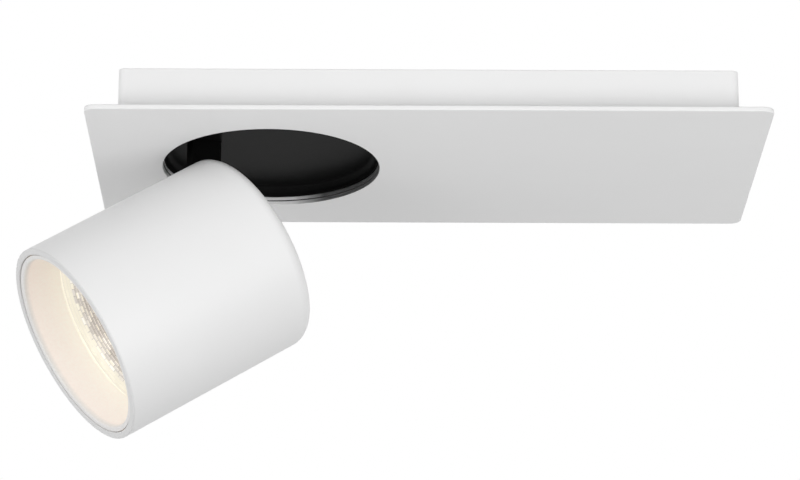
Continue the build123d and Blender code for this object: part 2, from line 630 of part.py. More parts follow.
with BuildPart() as turntable_dish:
    outer = DISH_INNER + DISH_SHEET
    with BuildSketch(Plane(origin=SWIVEL.origin, x_dir=ARM_DIRECTION, z_dir=TILT_DIRECTION)):
        with BuildLine():
            Line((0, DISH_CEILING), (DISH_INNER - DISH_COVE, DISH_CEILING))
            CenterArc((DISH_INNER - DISH_COVE, FLANGE_TOP), DISH_COVE, 0, 90)
            Polyline(
                (DISH_INNER, FLANGE_TOP),
                (DISH_INNER, FLANGE_BOTTOM),
                (FLANGE_RADIUS, FLANGE_BOTTOM),
                (FLANGE_RADIUS, FLANGE_TOP),
                (outer, FLANGE_TOP),
            )
            CenterArc((DISH_INNER - DISH_COVE, FLANGE_TOP), DISH_COVE + DISH_SHEET, 0, 90)
            Polyline((DISH_INNER - DISH_COVE, DISH_TOP), (0, DISH_TOP), (0, DISH_CEILING))
        make_face()
    revolve(axis=TURN_AXIS)
    with BuildSketch(turn_level(DISH_TOP)):
        with Locations(*arm_stud_places):
            Circle(M3_RADIUS)
    extrude(amount=ARM_FOOT_HEIGHT + M3_NUT_HEIGHT + STUD_TIP)
    with BuildSketch(turn_level(DISH_CEILING)):
        with Locations((PIVOT_OFFSET, 0)):
            Rectangle(ARM_WIDTH + 2 * ARM_SLOT_PLAY, ARM_THICKNESS + 2 * ARM_SLOT_PLAY)
    extrude(amount=DISH_SHEET, mode=Mode.SUBTRACT)
turntable_dish.part.label = "turntable_dish"
export_step(turntable_dish.part, "parts/turntable_dish.step")

# The arm: a knuckle round the pivot, an upright shank through the dish, and a foot on top of it
shank_height = DISH_TOP - PIVOT_LEVEL
channel_length = shank_height - M4_RADIUS - CHANNEL_FLOOR - CHANNEL_RADIUS

with BuildPart() as hinge_arm:
    with BuildSketch(ARM_SECTION):
        Circle(KNUCKLE_RADIUS)
        Rectangle(ARM_WIDTH, shank_height, align=(Align.CENTER, Align.MIN))
    extrude(amount=ARM_THICKNESS / 2, both=True)
    rims = hinge_arm.edges().filter_by(lambda edge: edge.center().Z < DISH_TOP - ARM_EDGE)
    fillet(rims, radius=ARM_EDGE)
    with BuildSketch(turn_level(DISH_TOP)):
        with Locations((PIVOT_OFFSET, 0)):
            RectangleRounded(ARM_FOOT_LENGTH, ARM_FOOT_WIDTH, ARM_FOOT_CORNER)
        with Locations((PIVOT_OFFSET, 0)):
            Rectangle(STOP_FINGER_TIP - PIVOT_OFFSET, STOP_FINGER_WIDTH, align=(Align.MIN, Align.CENTER))
        with Locations(*arm_stud_places):
            Circle(M3_RADIUS + SCREW_PLAY, mode=Mode.SUBTRACT)
    extrude(amount=ARM_FOOT_HEIGHT)
    with BuildSketch(ARM_SECTION):
        Circle(M4_RADIUS + PIVOT_PLAY)
    extrude(amount=ARM_THICKNESS, both=True, mode=Mode.SUBTRACT)
    with BuildSketch(turn_level(ARM_FOOT_TOP)):
        with Locations((PIVOT_OFFSET, 0)):
            Circle(CHANNEL_RADIUS)
    extrude(amount=-(ARM_FOOT_HEIGHT + channel_length), mode=Mode.SUBTRACT)
    with BuildSketch(Plane(origin=PIVOT, x_dir=TILT_DIRECTION * -1, z_dir=ARM_DIRECTION)):
        with Locations((0, shank_height - channel_length + WINDOW_HEIGHT / 2)):
            SlotOverall(WINDOW_HEIGHT, WINDOW_WIDTH, rotation=90)
    extrude(amount=-ARM_WIDTH, mode=Mode.SUBTRACT)
hinge_arm.part.label = "hinge_arm"
export_step(hinge_arm.part, "parts/hinge_arm.step")

with BuildPart() as arm_nuts:
    with BuildSketch(turn_level(ARM_FOOT_TOP)):
        with Locations(*arm_stud_places):
            RegularPolygon(M3_NUT_FLATS / 2, HEX_SIDE_COUNT, major_radius=False)
            Circle(M3_RADIUS + THREAD_PLAY, mode=Mode.SUBTRACT)
    extrude(amount=M3_NUT_HEIGHT)
arm_nuts.part.label = "arm_nuts"
export_step(arm_nuts.part, "parts/arm_nuts.step")

with BuildPart() as arm_bush:
    with BuildSketch(turn_level(ARM_FOOT_TOP)):
        with Locations((PIVOT_OFFSET, 0)):
            Circle(CHANNEL_RADIUS + BUSH_LIP)
    extrude(amount=BUSH_LIP / 2)
    with BuildSketch(turn_level(ARM_FOOT_TOP)):
        with Locations((PIVOT_OFFSET, 0)):
            Circle(CHANNEL_RADIUS - BUSH_PLAY)
    extrude(amount=-ARM_FOOT_HEIGHT)
    with BuildSketch(turn_level(ARM_FOOT_TOP + BUSH_LIP / 2)):
        with Locations((PIVOT_OFFSET, 0)):
            Circle(CHANNEL_RADIUS - BUSH_PLAY - BUSH_WALL)
    extrude(amount=-(ARM_FOOT_HEIGHT + BUSH_LIP / 2), mode=Mode.SUBTRACT)
arm_bush.part.label = "arm_bush"
export_step(arm_bush.part, "parts/arm_bush.step")

# ---------------------------------------------------------------------------------------------
# Head
# ---------------------------------------------------------------------------------------------

with BuildPart() as head_shell:
    with BuildSketch(HEAD_SECTION):
        with BuildLine():
            Line((0, 0), (HEAD_RADIUS - HEAD_EDGE, 0))
            CenterArc((HEAD_RADIUS - HEAD_EDGE, -HEAD_EDGE), HEAD_EDGE, 0, 90)
            Polyline(
                (HEAD_RADIUS, -HEAD_EDGE),
                (HEAD_RADIUS, -HEAD_LENGTH),
                (HEAD_BORE, -HEAD_LENGTH),
                (HEAD_BORE, -HEAD_BACK - HEAD_INNER_EDGE),
            )
            CenterArc((HEAD_BORE - HEAD_INNER_EDGE, -HEAD_BACK - HEAD_INNER_EDGE), HEAD_INNER_EDGE, 0, 90)
            Polyline((HEAD_BORE - HEAD_INNER_EDGE, -HEAD_BACK), (0, -HEAD_BACK), (0, 0))
        make_face()
    revolve(axis=HEAD_AXIS)
    fillet(head_shell.edges().sort_by(HEAD_AXIS)[:2], radius=HEAD_RIM_EDGE)
    # hinge lugs, hanging from the back on both sides of the slot
    with BuildSketch(HINGE_SECTION) as lug_outline:
        Circle(LUG_RADIUS)
        Rectangle(2 * LUG_RADIUS, PIVOT_DEPTH - HEAD_BACK / 2, align=(Align.CENTER, Align.MIN))
    extrude(amount=LUG_OUTER, both=True)
    extrude(lug_outline.sketch, amount=LUG_INNER, both=True, mode=Mode.SUBTRACT)
    # slot for the arm, through the back and down the side
    with BuildSketch(HEAD):
        with Locations((SLOT_START, 0)):
            Rectangle(HEAD_RADIUS, 2 * LUG_INNER, align=(Align.MIN, Align.CENTER))
    extrude(amount=-(HEAD_BACK + HEAD_INNER_EDGE), mode=Mode.SUBTRACT)
    with BuildSketch(Plane(origin=HEAD.origin, x_dir=HEAD.y_dir, z_dir=HEAD_X).offset(HEAD_RADIUS)) as side_slot:
        Rectangle(2 * LUG_INNER, SLOT_DEPTH, align=(Align.CENTER, Align.MAX))
        fillet(side_slot.vertices().group_by(Axis.Y)[0], radius=SLOT_CORNER)
    extrude(amount=-(2 * HEAD_WALL), mode=Mode.SUBTRACT)
    with BuildSketch(HINGE_SECTION):
        Circle(M4_RADIUS + PIVOT_PLAY)
    extrude(amount=LUG_OUTER, both=True, mode=Mode.SUBTRACT)
    with BuildSketch(HEAD):
        with PolarLocations(BOSS_CIRCLE, BOSS_COUNT, BOSS_FIRST_ANGLE, BOSS_SPAN, endpoint=True):
            Circle(M3_RADIUS + SCREW_PLAY)
    extrude(amount=-HEAD_BACK, mode=Mode.SUBTRACT)
head_shell.part.label = "head_shell"
export_step(head_shell.part, "parts/head_shell.step")

with BuildPart() as pivot_bolt:
    with BuildSketch(hinge_side(LUG_OUTER)):
        Circle(M4_HEAD_RADIUS)
    extrude(amount=M4_HEAD_HEIGHT)
    with BuildSketch(hinge_side(LUG_OUTER + M4_HEAD_HEIGHT)):
        RegularPolygon(M4_HEAD_RADIUS * SOCKET_SHARE, HEX_SIDE_COUNT)
    extrude(amount=-M4_HEAD_HEIGHT / 2, mode=Mode.SUBTRACT)
    with BuildSketch(hinge_side(LUG_OUTER)):
        Circle(M4_RADIUS)
    extrude(amount=-(2 * LUG_OUTER + M4_NUT_HEIGHT))
pivot_bolt.part.label = "pivot_bolt"
export_step(pivot_bolt.part, "parts/pivot_bolt.step")

with BuildPart() as pivot_nut:
    with BuildSketch(hinge_side(-LUG_OUTER)):
        RegularPolygon(M4_NUT_FLATS / 2, HEX_SIDE_COUNT, major_radius=False)
        Circle(M4_RADIUS + THREAD_PLAY, mode=Mode.SUBTRACT)
    extrude(amount=-M4_NUT_HEIGHT)
pivot_nut.part.label = "pivot_nut"
export_step(pivot_nut.part, "parts/pivot_nut.step")

with BuildPart() as friction_washers:
    for side in (-1, 1):
        with BuildSketch(hinge_side(side * LUG_INNER)):
            Circle(WASHER_RADIUS)
            Circle(M4_RADIUS + PIVOT_PLAY, mode=Mode.SUBTRACT)
        extrude(amount=-side * WASHER_THICKNESS)
friction_washers.part.label = "friction_washers"
export_step(friction_washers.part, "parts/friction_washers.step")

with BuildPart() as heat_sink:
    sink_radius = HEAD_BORE - SINK_FIT
    with BuildSketch(head_depth(SINK_PLATE)):
        Circle(sink_radius)
    extrude(amount=-SINK_BASE)
    with BuildSketch(head_depth(SINK_PLATE)):
        Circle(SINK_HUB_RADIUS)
        with PolarLocations(sink_radius / 2, FIN_COUNT, start_angle=180 / FIN_COUNT):
            Rectangle(sink_radius, FIN_THICKNESS)
        Circle(sink_radius, mode=Mode.INTERSECT)
    extrude(amount=FIN_HEIGHT)
    with BuildSketch(head_depth(SINK_PLATE)):
        with PolarLocations(BOSS_CIRCLE, BOSS_COUNT, BOSS_FIRST_ANGLE, BOSS_SPAN, endpoint=True):
            Circle(BOSS_RADIUS)
    extrude(amount=SINK_PLATE - HEAD_BACK)
    with BuildSketch(head_depth(HEAD_BACK)):
        with PolarLocations(BOSS_CIRCLE, BOSS_COUNT, BOSS_FIRST_ANGLE, BOSS_SPAN, endpoint=True):
            Circle(M3_RADIUS + THREAD_PLAY)
    extrude(amount=-(REAR_SCREW_BITE + STUD_TIP), mode=Mode.SUBTRACT)
    with BuildSketch(head_depth(SINK_FACE)):
        with PolarLocations(LED_SCREW_CIRCLE, LED_SCREW_COUNT, LED_SCREW_ANGLE):
            Circle(M3_RADIUS + THREAD_PLAY)
    extrude(amount=LED_SCREW_BITE + STUD_TIP, mode=Mode.SUBTRACT)
    with BuildSketch(head_depth(SINK_FACE)):
        with Locations((SINK_CABLE_PLACE, 0)):
            Circle(SINK_CABLE_RADIUS)
    extrude(amount=SINK_BASE, mode=Mode.SUBTRACT)
heat_sink.part.label = "heat_sink"
export_step(heat_sink.part, "parts/heat_sink.step")

with BuildPart() as rear_screws:
    with BuildSketch(HEAD):
        with PolarLocations(BOSS_CIRCLE, BOSS_COUNT, BOSS_FIRST_ANGLE, BOSS_SPAN, endpoint=True):
            Circle(M3_HEAD_RADIUS)
    extrude(amount=M3_HEAD_HEIGHT)
    with BuildSketch(HEAD.offset(M3_HEAD_HEIGHT)):
        with PolarLocations(BOSS_CIRCLE, BOSS_COUNT, BOSS_FIRST_ANGLE, BOSS_SPAN, endpoint=True):
            RegularPolygon(M3_HEAD_RADIUS * SOCKET_SHARE, HEX_SIDE_COUNT)
    extrude(amount=-M3_HEAD_HEIGHT / 2, mode=Mode.SUBTRACT)
    with BuildSketch(HEAD):
        with PolarLocations(BOSS_CIRCLE, BOSS_COUNT, BOSS_FIRST_ANGLE, BOSS_SPAN, endpoint=True):
            Circle(M3_RADIUS)
    extrude(amount=-(HEAD_BACK + REAR_SCREW_BITE))
rear_screws.part.label = "rear_screws"
export_step(rear_screws.part, "parts/rear_screws.step")

with BuildPart() as led_board:
    with BuildSketch(head_depth(SINK_FACE)):
        Rectangle(BOARD_SIDE, BOARD_SIDE)
    extrude(amount=-BOARD_THICKNESS)
led_board.part.label = "led_board"
export_step(led_board.part, "parts/led_board.step")

with BuildPart() as led_emitter:
    with BuildSketch(head_depth(SINK_FACE + BOARD_THICKNESS)):
        Circle(EMITTER_RADIUS)
    extrude(amount=-EMITTER_THICKNESS)
led_emitter.part.label = "led_emitter"
export_step(led_emitter.part, "parts/led_emitter.step")

with BuildPart() as led_holder:
    with BuildSketch(head_depth(SINK_FACE)):
        Circle(HOLDER_RADIUS)
    extrude(amount=-HOLDER_HEIGHT)
    with BuildSketch(head_depth(SINK_FACE)):
        Rectangle(BOARD_SIDE + 2 * HOLDER_FIT, BOARD_SIDE + 2 * HOLDER_FIT)
    extrude(amount=-BOARD_THICKNESS, mode=Mode.SUBTRACT)
    with BuildSketch(head_depth(SINK_FACE)):
        Circle(HOLDER_APERTURE)
    with BuildSketch(head_depth(HOLDER_FACE)):
        Circle(REFLECTOR_NECK)
    loft(mode=Mode.SUBTRACT)
    with BuildSketch(head_depth(HOLDER_FACE)):
        with PolarLocations(LED_SCREW_CIRCLE, LED_SCREW_COUNT, LED_SCREW_ANGLE):
            Circle(M3_HEAD_RADIUS + HOLDER_FIT)
    extrude(amount=M3_HEAD_HEIGHT + HOLDER_FIT, mode=Mode.SUBTRACT)
    with BuildSketch(head_depth(HOLDER_FACE)):
        with PolarLocations(LED_SCREW_CIRCLE, LED_SCREW_COUNT, LED_SCREW_ANGLE):
            Circle(M3_RADIUS + SCREW_PLAY)
    extrude(amount=HOLDER_HEIGHT, mode=Mode.SUBTRACT)
led_holder.part.label = "led_holder"
export_step(led_holder.part, "parts/led_holder.step")

with BuildPart() as led_screws:
    head_seat = HOLDER_FACE - M3_HEAD_HEIGHT - HOLDER_FIT
    with BuildSketch(head_depth(head_seat)):
        with PolarLocations(LED_SCREW_CIRCLE, LED_SCREW_COUNT, LED_SCREW_ANGLE):
            Circle(M3_HEAD_RADIUS)
    extrude(amount=-M3_HEAD_HEIGHT)
    with BuildSketch(head_depth(head_seat)):
        with PolarLocations(LED_SCREW_CIRCLE, LED_SCREW_COUNT, LED_SCREW_ANGLE):
            Circle(M3_RADIUS)
    extrude(amount=head_seat - SINK_FACE + LED_SCREW_BITE)
led_screws.part.label = "led_screws"
export_step(led_screws.part, "parts/led_screws.step")

# The reflector's wall is a paraboloid cut into flat facets, ring by ring
reflector_rings = []
for ring in range(REFLECTOR_RINGS + 1):
    share = ring / REFLECTOR_RINGS
    ring_depth = HOLDER_FACE + share * (REFLECTOR_FACE - HOLDER_FACE)
    ring_radius = sqrt(REFLECTOR_NECK**2 + share * (REFLECTOR_MOUTH**2 - REFLECTOR_NECK**2))
    reflector_rings.append((ring_depth, ring_radius))

with BuildPart() as reflector:
    for ring_depth, ring_radius in reflector_rings:
        with BuildSketch(head_depth(ring_depth)):
            RegularPolygon(ring_radius + REFLECTOR_WALL, REFLECTOR_FACETS)
    loft(ruled=True)
    with BuildSketch(head_depth(REFLECTOR_FACE)):
        Circle(BEZEL_RADIUS)
    extrude(amount=REFLECTOR_FLANGE)
    for ring_depth, ring_radius in reflector_rings:
        with BuildSketch(head_depth(ring_depth)):
            RegularPolygon(ring_radius, REFLECTOR_FACETS)
    loft(ruled=True, mode=Mode.SUBTRACT)
reflector.part.label = "reflector"
export_step(reflector.part, "parts/reflector.step")

with BuildPart() as lens_gasket:
    with BuildSketch(head_depth(REFLECTOR_FACE)):
        Circle(BEZEL_RADIUS)
        Circle(BEZEL_RADIUS - GASKET_WIDTH, mode=Mode.SUBTRACT)
    extrude(amount=-GASKET_THICKNESS)
lens_gasket.part.label = "lens_gasket"
export_step(lens_gasket.part, "parts/lens_gasket.step")

with BuildPart() as lens:
    with BuildSketch(head_depth(LENS_BACK)):
        Circle(BEZEL_RADIUS)
    extrude(amount=-LENS_THICKNESS)
    chamfer(lens.edges().filter_by(GeomType.CIRCLE), length=LENS_EDGE)
lens.part.label = "lens"
export_step(lens.part, "parts/lens.step")

# The bezel is a turned ring: a cone towards the lens, a rounded lip, and a groove for its ring
ring_centre = BEZEL_RADIUS + HEAD_FIT / 2 - RING_SECTION
groove_floor = ring_centre - RING_SECTION - RING_GROOVE_PLAY
ring_depth = LENS_FACE + RING_PLACE
groove_half = RING_SECTION + RING_GROOVE_PLAY

with BuildPart() as bezel:
    with BuildSketch(HEAD_SECTION) as bezel_section:
        with BuildLine():
            Polyline(
                (BEZEL_THROAT, -LENS_FACE),
                (BEZEL_RADIUS, -LENS_FACE),
                (BEZEL_RADIUS, -ring_depth + groove_half),
                (groove_floor, -ring_depth + groove_half),
                (groove_floor, -ring_depth - groove_half),
                (BEZEL_RADIUS, -ring_depth - groove_half),
                (BEZEL_RADIUS, -BEZEL_FACE),
                (BEZEL_MOUTH, -BEZEL_FACE),
                close=True,
            )
        make_face()
        lip_corner = bezel_section.vertices().sort_by_distance((BEZEL_MOUTH, -BEZEL_FACE))[0]
        fillet(lip_corner, radius=BEZEL_LIP)
    revolve(axis=HEAD_AXIS)
bezel.part.label = "bezel"
export_step(bezel.part, "parts/bezel.step")

with BuildPart() as bezel_ring:
    with BuildSketch(HEAD_SECTION):
        with Locations((ring_centre, -ring_depth)):
            Circle(RING_SECTION)
    revolve(axis=HEAD_AXIS)
bezel_ring.part.label = "bezel_ring"
export_step(bezel_ring.part, "parts/bezel_ring.step")
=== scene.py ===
import json
from math import cos, pi, radians, sin, sqrt

import bmesh
import bpy
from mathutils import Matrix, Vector


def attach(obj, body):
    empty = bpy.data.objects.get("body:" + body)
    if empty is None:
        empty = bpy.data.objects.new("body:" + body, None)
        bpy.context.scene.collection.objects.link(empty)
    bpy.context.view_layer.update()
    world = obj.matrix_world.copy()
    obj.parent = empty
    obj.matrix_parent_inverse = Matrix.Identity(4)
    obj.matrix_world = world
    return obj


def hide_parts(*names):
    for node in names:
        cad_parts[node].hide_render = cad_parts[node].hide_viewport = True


# Looks of the surface mounted ceiling spotlight. Metres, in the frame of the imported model:
# the ceiling is z = 0, x runs along the housing and -y is its front.

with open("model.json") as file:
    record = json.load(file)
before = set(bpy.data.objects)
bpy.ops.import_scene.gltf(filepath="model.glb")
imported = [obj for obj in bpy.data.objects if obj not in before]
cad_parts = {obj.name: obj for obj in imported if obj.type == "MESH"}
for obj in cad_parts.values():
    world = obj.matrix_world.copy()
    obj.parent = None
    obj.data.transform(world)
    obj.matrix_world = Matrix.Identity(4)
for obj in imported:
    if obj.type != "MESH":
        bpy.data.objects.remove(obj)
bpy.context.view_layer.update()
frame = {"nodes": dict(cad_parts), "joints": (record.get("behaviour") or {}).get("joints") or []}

# The head's own frame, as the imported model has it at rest: HEAD_BACK is the middle of its back,
# HEAD_OUT points along its axis to its mouth, and HEAD_X and HEAD_Y lie across it
PAN = radians(197.56)
TILT = radians(56.8)
PIVOT = Vector(next(joint["pos_m"] for joint in frame["joints"] if joint["name"] == "head_tilt"))
PIVOT_OFFSET = 0.0316
PIVOT_DEPTH = 0.0080415
ARM = Vector((cos(PAN), sin(PAN), 0))
HEAD_X = ARM * cos(TILT) + Vector((0, 0, sin(TILT)))
HEAD_OUT = ARM * sin(TILT) - Vector((0, 0, cos(TILT)))
HEAD_BACK = PIVOT - HEAD_X * PIVOT_OFFSET - HEAD_OUT * PIVOT_DEPTH
HEAD_Y = HEAD_OUT.cross(HEAD_X)

# The housing's round hole: HOLE_X is its middle, HOLE_EDGE a radius just outside its cut edge,
# HOLE_JOINT the height at which the plate meets the box, and HOLE_SEAM the width of the painted
# shadow line in the gap there. The cut edge's steel has painted light and shade: it is painted
# lighter at lower x and darker at higher x, turning between the two x values below.
HOLE_X = -0.0704
HOLE_EDGE = 0.0491
HOLE_JOINT = -0.0225
HOLE_SEAM = 0.0004
PAINTED_SHADE_START = HOLE_X + 0.17 * HOLE_EDGE
PAINTED_SHADE_END = HOLE_X + 0.48 * HOLE_EDGE

# Depths in the head between which painted shade darkens its coat, on the turned face round its
# mouth
RIM_START = 0.0957
RIM_END = 0.0965

# Reflector: the neck seats on the light source's holder, the flange under the lens's gasket
NECK_DEPTH = 0.04789
MOUTH_DEPTH = 0.07545
NECK_RADIUS = 0.010
MOUTH_RADIUS = 0.0375
FLANGE_RADIUS = 0.0429
WALL = 0.001
SKIN_STEPS = 12

# Cells of the reflector. ROW_STEPS and COLUMN_STEPS cut a cell into patches, at shares of its
# height and of its width. The first patch of either is a seam. The cuts across the width come
# twice, half a cell apart, because every other row is set off by half a cell. The cells swell
# more towards the mouth, and the smooth rows there don't swell.
CELLS_AROUND = 62
CELL_ROWS = 24
SMOOTH_ROWS = 2
CELL_SWELL = 0.00010
SWELL_AT_NECK = 0.4
ROW_STEPS = (0.0, 0.25, 0.55, 0.8)
COLUMN_STEPS = (0.0, 0.1, 0.45, 0.5, 0.6, 0.95)

# Painted highlights: glow that stands in for the light source's reflection in a cell's patches,
# as the least it can be and what the cell's own tone adds. The last rows before the smooth ones are
# lifted, and each smooth one has a fine line where it begins. The flange has a painted highlight
# too.
SEAM_GLOW = (0.1, 0.3)
CORE_GLOW = (0.72, 0.28)
FIELD_GLOW = (0.35, 0.35)
LIFTED_ROWS = 3
ROW_LIFT = 0.12
SMOOTH_GLOW = 0.91
SMOOTH_LINE = 0.04
FLANGE_GLOW = 0.85

# A cell's tone is what a tall sine of its row and column leaves after the point. It sets the
# cell's shade and its painted highlight, and the tone of another cell, TONE_SHIFT further on, sets
# its gloss.
# SKIN_TONES are the shade and gloss of the flange and the outer skin.
TONE_WAVE = (12.9898, 78.233)
TONE_GAIN = 43758.5453
TONE_SHIFT = 7
SKIN_TONES = (0.7, 0.6)

# Bezel: a cone with a rounded lip and a groove for its rubber ring
BEZEL_BACK = 0.07925
BEZEL_FRONT = 0.0962
BEZEL_THROAT = 0.0372
BEZEL_MOUTH = 0.0408
BEZEL_OUTER = 0.0429
BEZEL_LIP = 0.001
LIP_STEPS = 8
GROOVE_DEPTH = 0.08425
GROOVE_HALF = 0.00095
GROOVE_FLOOR = 0.041225
TURNED_STEPS = 240


# ---------------------------------------------------------------------------------------------
# Material kit
# ---------------------------------------------------------------------------------------------

CLOUD_SCALE = 9.0
PEEL_SCALE = 1400.0
PEEL_STRENGTH = 0.35
PEEL_DEPTH = 0.00002
WHITE_SPECULAR = 0.3
PLASTIC_SPECULAR = 0.35
BEVEL_SAMPLES = 6


def grey(level):
    """A neutral colour."""
    return (level, level, level)


WHITE = grey(0.80)
WHITE_SHADE = grey(0.775)
# Painted shade for the turned face round the head's mouth
RIM_PAINTED_SHADE = grey(0.68)
# Painted shadow for the gap where the plate meets the box, round the hole
SEAM_PAINTED_SHADOW = grey(0.05)


def new_material(name):
    """A material with one Principled shader, and the object's own coordinates to paint it by."""
    material = bpy.data.materials.new(name)
    material.use_nodes = True
    tree = material.node_tree
    tree.nodes.clear()
    output = tree.nodes.new("ShaderNodeOutputMaterial")
    shader = tree.nodes.new("ShaderNodeBsdfPrincipled")
    tree.links.new(shader.outputs["BSDF"], output.inputs["Surface"])
    place = tree.nodes.new("ShaderNodeTexCoord").outputs["Object"]
    return material, tree, shader, place


def noise(tree, place, scale, detail=2.0, roughness=0.5, stretch=None):
    """Noise over the object's coordinates, with each axis multiplied by stretch. Returns its
    factor.
    """
    if stretch:
        mapping = tree.nodes.new("ShaderNodeMapping")
        mapping.inputs["Scale"].default_value = stretch
        tree.links.new(place, mapping.inputs["Vector"])
        place = mapping.outputs["Vector"]
    texture = tree.nodes.new("ShaderNodeTexNoise")
    texture.inputs["Scale"].default_value = scale
    texture.inputs["Detail"].default_value = detail
    texture.inputs["Roughness"].default_value = roughness
    tree.links.new(place, texture.inputs["Vector"])
    return texture.outputs["Fac"]


def ramp(tree, factor, stops):
    """Colour ramp over a factor, from (place, colour) stops."""
    node = tree.nodes.new("ShaderNodeValToRGB")
    elements = node.color_ramp.elements
    while len(elements) < len(stops):
        elements.new(0.5)
    for element, (place, colour) in zip(elements, stops):
        element.position = place
        element.color = (*colour, 1.0)
    tree.links.new(factor, node.inputs["Fac"])
    return node.outputs["Color"]


def spread(tree, factor, low, high):
    """A factor of 0 to 1 spread over low to high."""
    node = tree.nodes.new("ShaderNodeMapRange")
    node.inputs["To Min"].default_value = low
    node.inputs["To Max"].default_value = high
    tree.links.new(factor, node.inputs["Value"])
    return node.outputs["Result"]


def between(tree, value, start, end):
    """0 to 1 as a value goes from start to end."""
    node = tree.nodes.new("ShaderNodeMapRange")
    node.inputs["From Min"].default_value = start
    node.inputs["From Max"].default_value = end
    tree.links.new(value, node.inputs["Value"])
    return node.outputs["Result"]


def number(tree, operation, first, second):
    """One step of arithmetic on a value. The second one may be a plain number."""
    node = tree.nodes.new("ShaderNodeMath")
    node.operation = operation
    tree.links.new(first, node.inputs[0])
    if isinstance(second, float):
        node.inputs[1].default_value = second
    else:
        tree.links.new(second, node.inputs[1])
    return node.outputs["Value"]


def blended(tree, factor, first, second):
    """Two colours by a factor. The second one may be a plain colour."""
    node = tree.nodes.new("ShaderNodeMixRGB")
    tree.links.new(factor, node.inputs["Fac"])
    tree.links.new(first, node.inputs["Color1"])
    if isinstance(second, tuple):
        node.inputs["Color2"].default_value = (*second, 1.0)
    else:
        tree.links.new(second, node.inputs["Color2"])
    return node.outputs["Color"]


def relief(tree, shader, height, strength, depth, edge=0.0):
    """Bump from a height, over edges that look rounded by the radius edge."""
    bump = tree.nodes.new("ShaderNodeBump")
    bump.inputs["Strength"].default_value = strength
    bump.inputs["Distance"].default_value = depth
    tree.links.new(height, bump.inputs["Height"])
    if edge:
        bevel = tree.nodes.new("ShaderNodeBevel")
        bevel.samples = BEVEL_SAMPLES
        bevel.inputs["Radius"].default_value = edge
        tree.links.new(bevel.outputs["Normal"], bump.inputs["Normal"])
    tree.links.new(bump.outputs["Normal"], shader.inputs["Normal"])


def glowing(tree, shader, colour, strength):
    """Light of its own, in a colour that varies over the surface."""
    tree.links.new(colour, shader.inputs["Emission Color"])
    shader.inputs["Emission Strength"].default_value = strength


def either_surface(tree, factor, first, second):
    """Gives the tree's output the first shader where the factor is 0, the second where it is 1."""
    mix = tree.nodes.new("ShaderNodeMixShader")
    tree.links.new(factor, mix.inputs["Fac"])
    tree.links.new(first, mix.inputs[1])
    tree.links.new(second, mix.inputs[2])
    output = next(node for node in tree.nodes if node.type.startswith("OUTPUT"))
    tree.links.new(mix.outputs["Shader"], output.inputs["Surface"])


def along_head(tree, place, start, end):
    """0 to 1 from one depth in the head to another, measured along its axis from its back."""
    shift = tree.nodes.new("ShaderNodeVectorMath")
    shift.operation = "SUBTRACT"
    shift.inputs[1].default_value = HEAD_BACK
    tree.links.new(place, shift.inputs[0])
    dot = tree.nodes.new("ShaderNodeVectorMath")
    dot.operation = "DOT_PRODUCT"
    dot.inputs[1].default_value = HEAD_OUT
    tree.links.new(shift.outputs["Vector"], dot.inputs[0])
    return between(tree, dot.outputs["Value"], start, end)


# ---------------------------------------------------------------------------------------------
# Materials
# ---------------------------------------------------------------------------------------------


def coat_colour(tree, place, light, dark):
    """Two close shades of a powder coat, in soft clouds."""
    clouds = noise(tree, place, CLOUD_SCALE, detail=4.0)
    return ramp(tree, clouds, [(0.3, dark), (0.7, light)])


def coat_peel(tree, shader, place, specular, edge):
    """The gloss of a powder coat and the relief of its fine orange peel. Returns the peel."""
    peel = noise(tree, place, PEEL_SCALE)
    shader.inputs["Specular IOR Level"].default_value = specular
    relief(tree, shader, peel, PEEL_STRENGTH, PEEL_DEPTH, edge)
    return peel


def painted(name, light, dark, rough, specular, edge):
    """A plain powder coat."""
    material, tree, shader, place = new_material(name)
    tree.links.new(coat_colour(tree, place, light, dark), shader.inputs["Base Color"])
    peel = coat_peel(tree, shader, place, specular, edge)
    tree.links.new(spread(tree, peel, rough - 0.05, rough + 0.05), shader.inputs["Roughness"])
    return material


def head_painted():
    """The head's powder coat, with painted shade on the turned face round its mouth."""
    material, tree, shader, place = new_material("head_powder_white")
    coat = coat_colour(tree, place, WHITE, WHITE_SHADE)
    at_rim = along_head(tree, place, RIM_START, RIM_END)
    tree.links.new(blended(tree, at_rim, coat, RIM_PAINTED_SHADE), shader.inputs["Base Color"])
    peel = coat_peel(tree, shader, place, WHITE_SPECULAR, edge=0.0005)
    tree.links.new(spread(tree, peel, 0.43, 0.53), shader.inputs["Roughness"])
    return material


